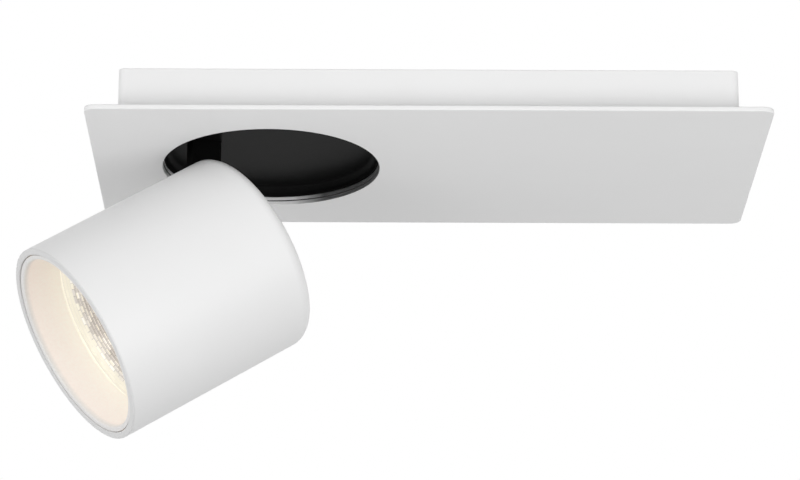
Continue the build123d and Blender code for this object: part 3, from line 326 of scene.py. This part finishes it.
def housing_painted():
    """The housing's powder coat, with the cut edge of the hole left as steel.

    The steel carries painted light and shade, lighter on one side and darker on the other, and a
    thin painted shadow runs round it in the gap where the plate meets the box.
    """
    material, tree, shader, place = new_material("housing_powder_white")
    coat = coat_colour(tree, place, WHITE, WHITE_SHADE)
    peel = coat_peel(tree, shader, place, WHITE_SPECULAR, edge=0.0006)
    streaks = noise(tree, place, 260.0, detail=3.0, stretch=(1.0, 1.0, 9.0))
    # Painted light and shade on the cut edge's steel: a lighter colour for the lit side, a darker
    # one for the shaded side
    lit_side_steel = ramp(tree, streaks, [(0.3, grey(0.88)), (0.7, grey(0.98))])
    shaded_side_steel = ramp(tree, streaks, [(0.3, grey(0.09)), (0.7, grey(0.21))])

    split = tree.nodes.new("ShaderNodeSeparateXYZ")
    tree.links.new(place, split.inputs["Vector"])
    x, y, z = split.outputs
    from_axis = tree.nodes.new("ShaderNodeCombineXYZ")
    tree.links.new(number(tree, "SUBTRACT", x, HOLE_X), from_axis.inputs["X"])
    tree.links.new(y, from_axis.inputs["Y"])
    radius = tree.nodes.new("ShaderNodeVectorMath")
    radius.operation = "LENGTH"
    tree.links.new(from_axis.outputs["Vector"], radius.inputs[0])
    in_hole = number(tree, "LESS_THAN", radius.outputs["Value"], HOLE_EDGE)
    in_box = number(tree, "GREATER_THAN", z, HOLE_JOINT)
    in_box_hole = number(tree, "MULTIPLY", in_hole, in_box)
    from_joint = number(tree, "ABSOLUTE", number(tree, "SUBTRACT", z, HOLE_JOINT), 0.0)
    in_seam_shadow = number(tree, "LESS_THAN", from_joint, HOLE_SEAM / 2)

    # Painted shade across the cut edge, darker towards higher x, and a painted shadow in the gap at
    # the joint
    steel = blended(tree, between(tree, x, PAINTED_SHADE_START, PAINTED_SHADE_END), lit_side_steel, shaded_side_steel)
    cut_edge = blended(tree, in_seam_shadow, steel, SEAM_PAINTED_SHADOW)
    tree.links.new(blended(tree, in_hole, coat, cut_edge), shader.inputs["Base Color"])
    tree.links.new(spread(tree, in_box_hole, 0.0, 0.15), shader.inputs["Metallic"])
    coat_rough = spread(tree, peel, 0.45, 0.55)
    steel_rough = spread(tree, streaks, 0.33, 0.47)
    rough = blended(tree, in_box_hole, coat_rough, steel_rough)
    tree.links.new(rough, shader.inputs["Roughness"])
    return material


def metal(name, light, dark, rough, scale, edge, stretch=None):
    """Bare metal with a grain, squeezed along an axis by the stretch where it has one."""
    material, tree, shader, place = new_material(name)
    grain = noise(tree, place, scale, detail=5.0, roughness=0.6, stretch=stretch)
    colour = ramp(tree, grain, [(0.35, dark), (0.65, light)])
    tree.links.new(colour, shader.inputs["Base Color"])
    tree.links.new(spread(tree, grain, rough + 0.08, rough - 0.06), shader.inputs["Roughness"])
    shader.inputs["Metallic"].default_value = 1.0
    relief(tree, shader, grain, strength=0.2, depth=0.00003, edge=edge)
    return material


def moulded(name, light, dark, rough, scale=700.0, edge=0.0):
    """Moulded plastic or rubber: a spark-eroded texture and slightly uneven colour."""
    material, tree, shader, place = new_material(name)
    clouds = noise(tree, place, 25.0, detail=3.0)
    colour = ramp(tree, clouds, [(0.3, dark), (0.7, light)])
    tree.links.new(colour, shader.inputs["Base Color"])
    texture = noise(tree, place, scale, detail=3.0)
    tree.links.new(spread(tree, texture, rough - 0.06, rough + 0.06), shader.inputs["Roughness"])
    shader.inputs["Specular IOR Level"].default_value = PLASTIC_SPECULAR
    relief(tree, shader, texture, strength=0.4, depth=0.00003, edge=edge)
    return material


def galvanised_sheet():
    """Zinc spangle: flat crystals, each with its own shade and gloss."""
    material, tree, shader, place = new_material("galvanised_sheet")
    crystals = tree.nodes.new("ShaderNodeTexVoronoi")
    crystals.inputs["Scale"].default_value = 160.0
    tree.links.new(place, crystals.inputs["Vector"])
    split = tree.nodes.new("ShaderNodeSeparateColor")
    tree.links.new(crystals.outputs["Color"], split.inputs["Color"])
    stops = [(0.0, (0.42, 0.43, 0.45)), (1.0, (0.66, 0.67, 0.69))]
    tree.links.new(ramp(tree, split.outputs["Red"], stops), shader.inputs["Base Color"])
    tree.links.new(spread(tree, split.outputs["Green"], 0.28, 0.5), shader.inputs["Roughness"])
    shader.inputs["Metallic"].default_value = 1.0
    grain = noise(tree, place, 300.0)
    relief(tree, shader, grain, strength=0.15, depth=0.00003, edge=0.0004)
    return material


def phosphor():
    """The light source's yellow phosphor, alight."""
    material, tree, shader, place = new_material("phosphor")
    grain = noise(tree, place, 1800.0, detail=3.0)
    colour = ramp(tree, grain, [(0.3, (0.85, 0.6, 0.12)), (0.7, (0.95, 0.75, 0.25))])
    tree.links.new(colour, shader.inputs["Base Color"])
    shader.inputs["Roughness"].default_value = 0.4
    glow = ramp(tree, grain, [(0.3, (1.0, 0.78, 0.42)), (0.7, (1.0, 0.88, 0.6))])
    glowing(tree, shader, glow, strength=1.6)
    return material


def lit_bezel():
    """White satin ring with a painted warm glow, standing in for the light source's light on its
    cone.
    """
    material, tree, shader, place = new_material("bezel_satin_white")
    turned = noise(tree, place, 900.0)
    colour = ramp(tree, turned, [(0.3, (0.74, 0.73, 0.72)), (0.7, (0.78, 0.77, 0.76))])
    tree.links.new(colour, shader.inputs["Base Color"])
    tree.links.new(spread(tree, turned, 0.42, 0.52), shader.inputs["Roughness"])
    shader.inputs["Specular IOR Level"].default_value = WHITE_SPECULAR
    # Painted glow: emission standing in for the light source's light, stronger towards the back of
    # the cone
    glow = [
        (0.0, (0.0, 0.0, 0.0)),
        (0.06, (0.25, 0.19, 0.14)),
        (0.16, (0.78, 0.55, 0.39)),
        (0.6, (0.80, 0.62, 0.42)),
        (1.0, (0.95, 0.80, 0.52)),
    ]
    from_front = along_head(tree, place, BEZEL_FRONT, BEZEL_BACK)
    glowing(tree, shader, ramp(tree, from_front, glow), strength=0.3)
    relief(tree, shader, turned, strength=0.25, depth=0.00002, edge=0.0003)
    return material


def lit_gasket():
    """Clear silicone with a painted glow, standing in for the light source's light at the lens's
    edge.
    """
    material, tree, shader, place = new_material("silicone_clear")
    clouds = noise(tree, place, 25.0, detail=3.0)
    colour = ramp(tree, clouds, [(0.3, (0.70, 0.68, 0.62)), (0.7, (0.76, 0.74, 0.68))])
    tree.links.new(colour, shader.inputs["Base Color"])
    shader.inputs["Roughness"].default_value = 0.5
    # Painted glow: emission standing in for the light source's light on the gasket
    glow = ramp(tree, clouds, [(0.3, (0.96, 0.91, 0.76)), (0.7, (1.0, 0.96, 0.84))])
    glowing(tree, shader, glow, strength=0.5)
    return material


def mirror_cells():
    """Vacuum-coated cells: warm silver, a shade of its own on each, and a painted highlight on each
    patch.
    """
    material, tree, shader, place = new_material("reflector_facets")
    tint = tree.nodes.new("ShaderNodeVertexColor")
    tint.layer_name = "cell"
    split = tree.nodes.new("ShaderNodeSeparateColor")
    tree.links.new(tint.outputs["Color"], split.inputs["Color"])
    stops = [(0.0, (0.04, 0.035, 0.03)), (1.0, (0.11, 0.10, 0.09))]
    tree.links.new(ramp(tree, split.outputs["Red"], stops), shader.inputs["Base Color"])
    shader.inputs["Metallic"].default_value = 1.0
    tree.links.new(spread(tree, split.outputs["Green"], 0.35, 0.5), shader.inputs["Roughness"])
    # Painted highlights: glow that stands in for the light source's reflection in the cells
    glow = [
        (0.0, (0.22, 0.18, 0.15)),
        (0.35, (0.46, 0.42, 0.39)),
        (0.6, (0.72, 0.68, 0.64)),
        (0.85, (0.93, 0.88, 0.70)),
        (1.0, (1.0, 0.98, 0.93)),
    ]
    glowing(tree, shader, ramp(tree, split.outputs["Blue"], glow), strength=1.0)
    relief(tree, shader, noise(tree, place, 2200.0), strength=0.1, depth=0.00001)
    return material


def clear_glass():
    """Lens: a clear glass that lets the lamps and the sky reach what is behind it."""
    material, tree, shader, place = new_material("lens_clear")
    shader.inputs["Transmission Weight"].default_value = 1.0
    shader.inputs["IOR"].default_value = 1.45
    smear = noise(tree, place, 60.0, detail=3.0)
    tree.links.new(spread(tree, smear, 0.0, 0.03), shader.inputs["Roughness"])
    colour = ramp(tree, smear, [(0.0, (0.99, 0.99, 0.98)), (1.0, (1.0, 1.0, 1.0))])
    tree.links.new(colour, shader.inputs["Base Color"])
    path = tree.nodes.new("ShaderNodeLightPath").outputs
    lights = number(tree, "MAXIMUM", path["Is Shadow Ray"], path["Is Diffuse Ray"])
    through = tree.nodes.new("ShaderNodeBsdfTransparent")
    either_surface(tree, lights, shader.outputs["BSDF"], through.outputs["BSDF"])
    return material


# ---------------------------------------------------------------------------------------------
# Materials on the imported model's own nodes
# ---------------------------------------------------------------------------------------------

housing_white = housing_painted()
head_white = head_painted()
dish_black = painted(
    "dish_satin_black", grey(0.008), grey(0.006),
    rough=0.3, specular=0.0155, edge=0.0004,
)
arm_black = painted(
    "arm_satin_black", grey(0.004), grey(0.003),
    rough=0.4, specular=0.01, edge=0.0004,
)
zinc = metal(
    "zinc_plated_steel", (0.66, 0.67, 0.70), (0.52, 0.53, 0.56),
    rough=0.3, scale=500.0, edge=0.0002,
)
spring = metal(
    "blued_spring_steel", (0.34, 0.35, 0.38), (0.22, 0.23, 0.27),
    rough=0.35, scale=300.0, edge=0.0002, stretch=(1.0, 1.0, 6.0),
)
brass = metal(
    "bare_brass", (0.80, 0.62, 0.30), (0.62, 0.45, 0.18),
    rough=0.28, scale=400.0, edge=0.0002,
)
casting = metal(
    "bare_casting", (0.68, 0.69, 0.70), (0.52, 0.53, 0.54),
    rough=0.42, scale=650.0, edge=0.0003,
)
driver_case = moulded(
    "driver_case_white", (0.74, 0.74, 0.72), (0.70, 0.70, 0.68),
    rough=0.5, edge=0.0004,
)
terminal_case = moulded(
    "terminal_case_grey", (0.68, 0.68, 0.65), (0.62, 0.62, 0.60),
    rough=0.42, edge=0.0004,
)
holder = moulded("holder_white", (0.78, 0.78, 0.76), (0.74, 0.74, 0.72), rough=0.45)
glide = moulded("glide_plastic_black", grey(0.03), grey(0.022), rough=0.4)
rubber = moulded("rubber_black", grey(0.022), grey(0.014), rough=0.7, scale=900.0)

FINISHES = {
    "mounting_bracket": galvanised_sheet(),
    "cable_grommet": rubber,
    "base_box": housing_white,
    "front_plate": housing_white,
    "plate_nuts": zinc,
    "side_screws": zinc,
    "led_driver": driver_case,
    "driver_screws": zinc,
    "terminal_block": terminal_case,
    "terminal_screws": zinc,
    "earth_stud": brass,
    "earth_nut": brass,
    "glide_ring": glide,
    "retaining_clips": spring,
    "clip_screws": zinc,
    "stop_post": zinc,
    "turntable_dish": dish_black,
    "hinge_arm": arm_black,
    "arm_nuts": zinc,
    "arm_bush": rubber,
    "head_shell": head_white,
    "pivot_bolt": zinc,
    "pivot_nut": zinc,
    "friction_washers": glide,
    "heat_sink": casting,
    "rear_screws": zinc,
    "led_board": casting,
    "led_emitter": phosphor(),
    "led_holder": holder,
    "led_screws": zinc,
    "lens_gasket": lit_gasket(),
    "lens": clear_glass(),
    "bezel_ring": rubber,
}

for node_name, finish in FINISHES.items():
    node = frame["nodes"][node_name]
    node.data.materials.clear()
    node.data.materials.append(finish)


# ---------------------------------------------------------------------------------------------
# Reflector and bezel
# ---------------------------------------------------------------------------------------------


def turned_vertex(mesh, depth, radius, place, count):
    """A vertex in the head, at a place on a circle of count parts about its axis."""
    angle = 2 * pi * place / count
    across = HEAD_X * cos(angle) + HEAD_Y * sin(angle)
    return mesh.verts.new(HEAD_BACK + HEAD_OUT * depth + across * radius)


def turned_ring(mesh, depth, radius, places, count):
    """A ring of vertices at places on a circle of count parts about the head's axis."""
    return [turned_vertex(mesh, depth, radius, place, count) for place in places]


def joined(mesh, near, far, column):
    """A smooth face from one place in a ring to the next, between two rings."""
    after = (column + 1) % len(near)
    face = mesh.faces.new((near[column], near[after], far[after], far[column]))
    face.smooth = True
    return face


def add_to_head(mesh, name, node_name, finish):
    """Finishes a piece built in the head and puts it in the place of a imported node."""
    bmesh.ops.recalc_face_normals(mesh, faces=mesh.faces)
    data = bpy.data.meshes.new(name)
    mesh.to_mesh(data)
    mesh.free()
    data.materials.append(finish)
    piece = bpy.data.objects.new(name, data)
    bpy.context.scene.collection.objects.link(piece)
    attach(piece, "head")
    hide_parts(node_name)


def bowl_radius(share):
    """Radius of the paraboloid at a share of its depth."""
    return sqrt(NECK_RADIUS**2 + share * (MOUTH_RADIUS**2 - NECK_RADIUS**2))


def stepped(count, steps):
    """Places along a row of cells: each cell is cut at the same shares of its length."""
    return [cell + step for cell in range(count) for step in steps]


def cell_tone(row, column):
    """A steady pseudo-random tone for a cell, from 0 to 1."""
    return sin(row * TONE_WAVE[0] + column * TONE_WAVE[1]) * TONE_GAIN % 1


def cell_painted_highlight(row, row_step, cell, column_step):
    """How bright the painted highlight on a patch of a cell is: a bright core, and seams that fade
    at the mouth.
    """
    from_smooth = CELL_ROWS - SMOOTH_ROWS - 1 - row
    if from_smooth < 0:
        return SMOOTH_GLOW - SMOOTH_LINE * (row_step == 0)
    lift = ROW_LIFT * max(0, LIFTED_ROWS - from_smooth)
    if row_step == 0 or column_step == 0:
        least, gain = SEAM_GLOW
    elif row_step == 1:
        least, gain = CORE_GLOW
        lift = 0
    else:
        least, gain = FIELD_GLOW
    return min(1.0, least + gain * cell_tone(row, cell) + lift)


def reflector_piece():
    """The bowl: rows of pillow-shaped cells, each row set off by half a cell, and a smooth rim."""
    mesh = bmesh.new()
    tint = mesh.loops.layers.color.new("cell")
    row_places = stepped(CELL_ROWS, ROW_STEPS) + [CELL_ROWS]
    column_places = stepped(CELLS_AROUND, COLUMN_STEPS)
    columns = len(column_places)
    depth_span = MOUTH_DEPTH - NECK_DEPTH
    inner = []
    for row_place in row_places:
        share = row_place / CELL_ROWS
        depth = NECK_DEPTH + share * depth_span
        up = sin(pi * (row_place % 1))
        shift = 0.5 * (int(row_place) % 2)
        swells = row_place < CELL_ROWS - SMOOTH_ROWS
        bulge = CELL_SWELL * up * (SWELL_AT_NECK + share) * swells
        ring = []
        for column_place in column_places:
            radius = bowl_radius(share) - bulge * sin(pi * ((column_place + shift) % 1))
            ring.append(turned_vertex(mesh, depth, radius, column_place, CELLS_AROUND))
        inner.append(ring)
    for index, (near, far) in enumerate(zip(inner, inner[1:])):
        row, row_step = divmod(index, len(ROW_STEPS))
        shift = len(COLUMN_STEPS) // 2 * (row % 2)
        for column in range(columns):
            cell, column_step = divmod((column + shift) % columns, len(COLUMN_STEPS))
            shade = cell_tone(row, cell)
            gloss = cell_tone(cell, row + TONE_SHIFT)
            glow = cell_painted_highlight(row, row_step, cell, column_step)
            for loop in joined(mesh, near, far, column).loops:
                loop[tint] = (shade, gloss, glow, 1.0)

    # flange under the gasket, with a painted highlight, and the outer skin a wall's thickness away
    profile = [
        (MOUTH_DEPTH, FLANGE_RADIUS),
        (MOUTH_DEPTH - WALL, FLANGE_RADIUS),
        (MOUTH_DEPTH - WALL, MOUTH_RADIUS + WALL),
    ]
    for step in range(1, SKIN_STEPS + 1):
        share = 1 - step / SKIN_STEPS
        profile.append((NECK_DEPTH + share * (depth_span - WALL), bowl_radius(share) + WALL))
    rings = [inner[-1]]
    for depth, radius in profile:
        rings.append(turned_ring(mesh, depth, radius, column_places, CELLS_AROUND))
    rings.append(inner[0])
    for near, far in zip(rings, rings[1:]):
        glow = FLANGE_GLOW * (near is inner[-1])
        for column in range(columns):
            for loop in joined(mesh, near, far, column).loops:
                loop[tint] = (*SKIN_TONES, glow, 1.0)
    add_to_head(mesh, "reflector_cells", "reflector", mirror_cells())


def point_between(first, second, share):
    """The point at a share of the way from one point of a profile to another."""
    return tuple(a + share * (b - a) for a, b in zip(first, second))


def bezel_piece():
    """The anti-glare ring: a cone from the lens to a rounded lip, just inside the shell's rim."""
    slope = (BEZEL_MOUTH - BEZEL_THROAT) / (BEZEL_FRONT - BEZEL_BACK)
    cone_end = (BEZEL_FRONT - BEZEL_LIP, BEZEL_MOUTH - slope * BEZEL_LIP)
    lip = (BEZEL_FRONT, BEZEL_MOUTH)
    face_start = (BEZEL_FRONT, BEZEL_MOUTH + BEZEL_LIP)
    profile = [(BEZEL_BACK, BEZEL_THROAT), cone_end]
    for step in range(1, LIP_STEPS):
        share = step / LIP_STEPS
        near = point_between(cone_end, lip, share)
        far = point_between(lip, face_start, share)
        profile.append(point_between(near, far, share))
    profile.append(face_start)
    corners = [
        (BEZEL_FRONT, BEZEL_OUTER),
        (GROOVE_DEPTH + GROOVE_HALF, BEZEL_OUTER),
        (GROOVE_DEPTH + GROOVE_HALF, GROOVE_FLOOR),
        (GROOVE_DEPTH - GROOVE_HALF, GROOVE_FLOOR),
        (GROOVE_DEPTH - GROOVE_HALF, BEZEL_OUTER),
        (BEZEL_BACK, BEZEL_OUTER),
    ]
    mesh = bmesh.new()
    rings = []
    for depth, radius in profile + corners:
        rings.append(turned_ring(mesh, depth, radius, range(TURNED_STEPS), TURNED_STEPS))
    for near, far in zip(rings, rings[1:] + rings[:1]):
        for step in range(TURNED_STEPS):
            joined(mesh, near, far, step)
    for ring in rings[:1] + rings[-len(corners):]:
        for near, far in zip(ring, ring[1:] + ring[:1]):
            mesh.edges.get((near, far)).smooth = False
    add_to_head(mesh, "bezel_cone", "bezel", lit_bezel())


reflector_piece()
bezel_piece()


# ---------------------------------------------------------------------------------------------
# Stage, light and camera
# ---------------------------------------------------------------------------------------------

FLOOR_SIDE = 6.0
FLOOR_LEVEL = -2.2
SKY = [(0.48, grey(0.12)), (0.52, grey(0.64))]
LAMP_TARGET = Vector((-0.05, 0, -0.05))
LAMP_DISTANCE = 1.5
LAMP_SIZE = 1.0
CAMERA_PLACE = (-0.0273, -1.42777, -0.55848)
CAMERA_PITCH = 19.29
CAMERA_YAW = -0.612
CAMERA_LENS = 151.2
CAMERA_SENSOR = 36.0


def seen_directly(tree):
    """1 for a ray from the camera, off a gloss or through glass, and 0 for the rays that light."""
    path = tree.nodes.new("ShaderNodeLightPath").outputs
    glossy = number(tree, "MAXIMUM", path["Is Camera Ray"], path["Is Glossy Ray"])
    return number(tree, "MAXIMUM", glossy, path["Is Transmission Ray"])


def studio_floor():
    """A wide pale floor, well below the light, that shows as plain white."""
    data = bpy.data.meshes.new("studio_floor")
    corners = [(-1, -1), (1, -1), (1, 1), (-1, 1)]
    verts = [(x * FLOOR_SIDE, y * FLOOR_SIDE, FLOOR_LEVEL) for x, y in corners]
    data.from_pydata(verts, [], [(0, 1, 2, 3)])
    floor = bpy.data.objects.new("studio_floor", data)
    bpy.context.scene.collection.objects.link(floor)
    material, tree, shader, place = new_material("studio_floor_pale")
    mottle = ramp(tree, noise(tree, place, 3.0), [(0.0, grey(0.80)), (1.0, grey(0.84))])
    tree.links.new(mottle, shader.inputs["Base Color"])
    shader.inputs["Roughness"].default_value = 0.9
    white = tree.nodes.new("ShaderNodeEmission")
    white.inputs["Color"].default_value = (1.0, 1.0, 1.0, 1.0)
    shown = seen_directly(tree)
    either_surface(tree, shown, shader.outputs["BSDF"], white.outputs["Emission"])
    data.materials.append(material)


def studio_world():
    """White to look at, and a soft light that comes mostly from above."""
    world = bpy.data.worlds.new("studio")
    world.use_nodes = True
    tree = world.node_tree
    tree.nodes.clear()
    tree.nodes.new("ShaderNodeOutputWorld")
    direction = tree.nodes.new("ShaderNodeTexCoord").outputs["Generated"]
    split = tree.nodes.new("ShaderNodeSeparateXYZ")
    tree.links.new(direction, split.inputs["Vector"])
    height = between(tree, split.outputs["Z"], -1.0, 1.0)
    light = tree.nodes.new("ShaderNodeBackground")
    tree.links.new(ramp(tree, height, SKY), light.inputs["Color"])
    white = tree.nodes.new("ShaderNodeBackground")
    white.inputs["Color"].default_value = (1.0, 1.0, 1.0, 1.0)
    shown = seen_directly(tree)
    either_surface(tree, shown, light.outputs["Background"], white.outputs["Background"])
    bpy.context.scene.world = world


def soft_lamp(name, azimuth, elevation, power):
    """A large soft lamp aimed at the part, azimuth degrees left of its front and elevation up."""
    data = bpy.data.lights.new(name, "AREA")
    data.shape = "DISK"
    data.size = LAMP_SIZE
    data.energy = power
    lamp = bpy.data.objects.new(name, data)
    turn, rise = radians(azimuth), radians(elevation)
    away = Vector((-sin(turn) * cos(rise), -cos(turn) * cos(rise), sin(rise)))
    lamp.location = LAMP_TARGET + away * LAMP_DISTANCE
    lamp.rotation_euler = (-away).to_track_quat("-Z", "Y").to_euler()
    lamp.visible_camera = False
    bpy.context.scene.collection.objects.link(lamp)


def camera():
    """The camera, solved from the plate's edges, the housing's and the hole in the photograph."""
    data = bpy.data.cameras.new("camera")
    data.sensor_fit = "HORIZONTAL"
    data.sensor_width = CAMERA_SENSOR
    data.lens = CAMERA_LENS
    data.clip_start = 0.01
    view = bpy.data.objects.new("camera", data)
    view.location = CAMERA_PLACE
    view.rotation_euler = (radians(90 + CAMERA_PITCH), 0, radians(CAMERA_YAW))
    bpy.context.scene.collection.objects.link(view)
    bpy.context.scene.camera = view


studio_floor()
studio_world()
soft_lamp("left", azimuth=75, elevation=-20, power=2.2)
soft_lamp("left_front", azimuth=40, elevation=-15, power=8.4)
soft_lamp("right_front", azimuth=-40, elevation=-20, power=10.2)
camera()
bpy.context.scene.view_settings.view_transform = "Standard"
